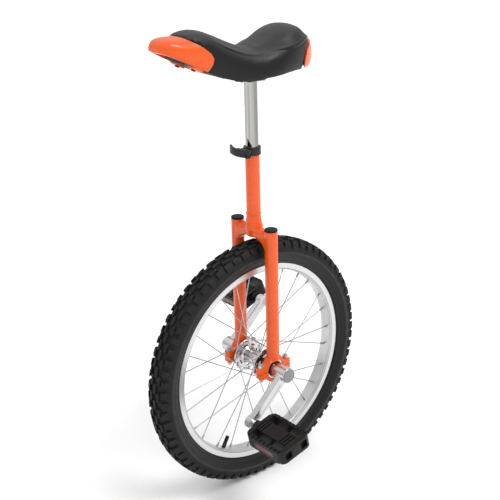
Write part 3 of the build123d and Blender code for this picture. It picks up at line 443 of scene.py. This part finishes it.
# ------------------------------------------------------------------ saddle cushion
# The cushion is blown up a little inside its cover by a short cloth run, then
# the sewn side seam is pressed into it.
def cushion():
    src = nodes["saddle_cushion"]
    ob = bpy.data.objects.new("saddle_cushion_cover", src.data.copy())
    bpy.context.scene.collection.objects.link(ob)
    me = ob.data
    bm = bmesh.new()
    bm.from_mesh(me)
    bmesh.ops.remove_doubles(bm, verts=bm.verts, dist=1e-5)
    bm.to_mesh(me)
    bm.free()
    rm = ob.modifiers.new("remesh", "REMESH")
    rm.mode = "VOXEL"
    rm.voxel_size = 0.0045
    apply_modifiers(ob)
    me = ob.data
    n = len(me.vertices)
    co = np.zeros(n * 3)
    me.vertices.foreach_get("co", co)
    co = co.reshape(-1, 3)
    nr = np.zeros(n * 3)
    me.vertices.foreach_get("normal", nr)
    nr = nr.reshape(-1, 3)
    rest = co.copy()
    # hold the underside and the ends that the mouldings cover
    held = (nr[:, 2] < -0.45) | (co[:, 2] < 0.845)
    shrunk = co - nr * 0.0012 * (~held)[:, None]
    me.vertices.foreach_set("co", shrunk.ravel())
    me.update()
    vg = ob.vertex_groups.new(name="held")
    vg.add([int(i) for i in np.nonzero(held)[0]], 1.0, "REPLACE")
    cl = ob.modifiers.new("cloth", "CLOTH")
    s = cl.settings
    s.quality = 6
    s.mass = 0.3
    s.tension_stiffness = 25
    s.compression_stiffness = 25
    s.shear_stiffness = 10
    s.bending_stiffness = 1.0
    s.use_pressure = True
    s.uniform_pressure_force = 4.0
    s.effector_weights.gravity = 0.0
    s.vertex_group_mass = "held"
    cl.collision_settings.use_collision = False
    scene = bpy.context.scene
    for f in range(1, 21):
        scene.frame_set(f)
    dg = bpy.context.evaluated_depsgraph_get()
    ev = ob.evaluated_get(dg).to_mesh()
    blown = np.zeros(n * 3)
    ev.vertices.foreach_get("co", blown)
    blown = blown.reshape(-1, 3)
    ob.modifiers.clear()
    scene.frame_set(1)
    move = blown - rest
    length = np.linalg.norm(move, axis=1, keepdims=True)
    cap = 0.0022
    move *= np.minimum(1.0, cap / np.maximum(length, 1e-9))
    me.vertices.foreach_set("co", (rest + move).ravel())
    me.update()
    sm = ob.modifiers.new("smooth", "CORRECTIVE_SMOOTH" if False else "SMOOTH")
    sm.factor = 0.5
    sm.iterations = 9
    sub = ob.modifiers.new("subdivision", "SUBSURF")
    sub.levels = 2
    sub.render_levels = 2
    apply_modifiers(ob)
    me = ob.data
    n = len(me.vertices)
    co = np.zeros(n * 3)
    me.vertices.foreach_get("co", co)
    co = co.reshape(-1, 3)
    nr = np.zeros(n * 3)
    me.vertices.foreach_get("normal", nr)
    nr = nr.reshape(-1, 3)
    # sewn seam along each side, dipping towards the middle
    sx = np.array([-0.128, -0.105, -0.070, -0.017, 0.033, 0.057, 0.082, 0.100, 0.118])
    sz = np.array([0.892, 0.894, 0.889, 0.8875, 0.889, 0.8935, 0.909, 0.922, 0.930])
    # the seam's place across each slice: where the upper surface meets that height,
    # but never further in than three quarters of the half width
    ay = np.abs(co[:, 1])
    xs = np.arange(-0.134, 0.128, 0.004)
    yc, zc, ok = [], [], []
    for x in xs:
        pick = (np.abs(co[:, 0] - x) < 0.003) & (nr[:, 2] > 0.02) & (co[:, 2] > 0.86)
        if pick.sum() < 12:
            continue
        order = np.argsort(ay[pick])
        a, z = ay[pick][order], co[:, 2][pick][order]
        w = a[-1]
        grid = np.linspace(0.5 * w, w, 40)
        zg = np.interp(grid, a, z)
        above = grid[zg >= np.interp(x, sx, sz)]
        y = min(max(above[-1] if len(above) else 0.0, 0.76 * w), 0.97 * w)
        yc.append(y)
        zc.append(float(np.interp(y, a, z)))
        ok.append(x)
    ker = np.ones(7) / 7.0
    yc = np.convolve(np.pad(yc, 3, mode="edge"), ker, mode="valid")
    zc = np.convolve(np.pad(zc, 3, mode="edge"), ker, mode="valid")
    dy = ay - np.interp(co[:, 0], ok, yc)
    dz = co[:, 2] - np.interp(co[:, 0], ok, zc)
    d = np.sqrt(dy ** 2 + dz ** 2) * np.sign(dy - dz)
    upper = np.clip((co[:, 2] - 0.866) / 0.008, 0, 1)
    ends = np.clip((co[:, 0] + 0.130) / 0.014, 0, 1) * np.clip((0.112 - co[:, 0]) / 0.03, 0, 1)
    swell = np.exp(-(d / 0.0034) ** 2) * 0.0013
    groove = np.exp(-((d - 0.0046) / 0.0020) ** 2) * 0.0004 + np.exp(-((d + 0.012) / 0.008) ** 2) * 0.0010
    co += nr * ((swell - groove) * upper * ends)[:, None]
    me.vertices.foreach_set("co", co.ravel())
    me.materials.clear()
    me.materials.append(M["saddle_cover"])
    for p in me.polygons:
        p.use_smooth = True
        p.material_index = 0
    me.update()
    return ob


pad = cushion()
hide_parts("saddle_cushion")
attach(pad, "seat")



def bead(name, radius, z, thick, body, ripples):
    """Rippled weld bead round a vertical tube."""
    n, m = ripples * 6, 10
    vs, fs = [], []
    for i in range(n):
        a = 2 * math.pi * i / n
        ph = (i % 6) / 6.0
        t = thick * (0.80 + 0.20 * math.sin(math.pi * ph))
        for k in range(m):
            b = 2 * math.pi * k / m
            rr = radius + t * math.cos(b)
            vs.append((rr * math.cos(a), rr * math.sin(a), z + t * 0.9 * math.sin(b)))
    for i in range(n):
        for k in range(m):
            i2, k2 = (i + 1) % n, (k + 1) % m
            fs.append((i * m + k, i2 * m + k, i2 * m + k2, i * m + k2))
    ob = mesh_object(name, vs, fs, M["frame_paint"])
    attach(ob, body)
    return ob


bead("weld_neck", 0.0139, 0.5728, 0.0011, "frame", 24)

# ------------------------------------------------------------------ stage
floor_me = bpy.data.meshes.new("floor")
floor_me.from_pydata([(-60, -60, 0), (60, -60, 0), (60, 60, 0), (-60, 60, 0)], [], [(0, 1, 2, 3)])
floor = bpy.data.objects.new("floor", floor_me)
bpy.context.scene.collection.objects.link(floor)
g = Graph("floor_pale")
g.colour(g.mix(g.ramp(g.noise(2.0, 4.0), 0.3, 0.7), (0.93, 0.93, 0.93), (0.95, 0.95, 0.95)))
g.roughness(g.ramp(g.noise(8.0, 3.0), 0.3, 0.7, 0.85, 0.95))
g.put(spec=0.1)
floor_me.materials.append(g.mat)

world = bpy.data.worlds.new("studio")
bpy.context.scene.world = world
world.use_nodes = True
wn = world.node_tree
bg = wn.nodes["Background"]
wc = wn.nodes.new("ShaderNodeTexCoord")
ws = wn.nodes.new("ShaderNodeSeparateXYZ")
wr = wn.nodes.new("ShaderNodeMapRange")
wr.inputs["From Min"].default_value = -0.05
wr.inputs["From Max"].default_value = 0.75
wr.inputs["To Min"].default_value = 0.44
wr.inputs["To Max"].default_value = 1.05
wn.links.new(wc.outputs["Generated"], ws.inputs[0])
wn.links.new(ws.outputs["Z"], wr.inputs["Value"])
# the open studio behind the object reads as plain white
lp = wn.nodes.new("ShaderNodeLightPath")
pick = wn.nodes.new("ShaderNodeMix")
pick.data_type = "FLOAT"
pick.inputs[3].default_value = 1.0
wn.links.new(lp.outputs["Is Camera Ray"], pick.inputs[0])
wn.links.new(wr.outputs["Result"], pick.inputs[2])
wn.links.new(pick.outputs[0], bg.inputs["Strength"])
bg.inputs["Color"].default_value = (1.0, 1.0, 1.0, 1.0)

sun_data = bpy.data.lights.new("sun", "SUN")
sun_data.energy = 1.15
sun_data.angle = math.radians(28)
sun = bpy.data.objects.new("sun", sun_data)
bpy.context.scene.collection.objects.link(sun)
sun.rotation_euler = Vector((0.25, -0.75, -1.25)).to_track_quat("-Z", "Y").to_euler()


def area(name, loc, target, size, power, size_y=None):
    ld = bpy.data.lights.new(name, "AREA")
    ld.shape = "RECTANGLE"
    ld.size = size
    ld.size_y = size_y or size
    ld.energy = power
    ob = bpy.data.objects.new(name, ld)
    bpy.context.scene.collection.objects.link(ob)
    ob.location = loc
    d = Vector(target) - Vector(loc)
    ob.rotation_euler = d.to_track_quat("-Z", "Y").to_euler()
    return ob


area("softbox", (-0.5, 1.5, 2.4), (0, 0, 0.6), 0.9, 9)

# ------------------------------------------------------------------ camera
pos = np.array([1.1652, 1.3822, 1.2438])
aim = np.array([0.00669, -0.00564, 0.4961])
zc = (pos - aim) / np.linalg.norm(pos - aim)
xc = np.cross((0, 0, 1), zc)
xc /= np.linalg.norm(xc)
yc = np.cross(zc, xc)
roll = math.radians(-1.46)
xr = math.cos(roll) * xc + math.sin(roll) * yc
yr = -math.sin(roll) * xc + math.cos(roll) * yc
cam_data = bpy.data.cameras.new("camera")
cam_data.lens = 73.04
cam_data.sensor_width = 36.0
cam_data.clip_start = 0.01
cam_data.clip_end = 100.0
cam = bpy.data.objects.new("camera", cam_data)
bpy.context.scene.collection.objects.link(cam)
cam.matrix_world = Matrix(((xr[0], yr[0], zc[0], pos[0]), (xr[1], yr[1], zc[1], pos[1]),
                           (xr[2], yr[2], zc[2], pos[2]), (0, 0, 0, 1)))
bpy.context.scene.camera = cam
bpy.context.scene.view_settings.view_transform = "Standard"
bpy.context.scene.view_settings.look = "None"

bpy.context.view_layer.update()
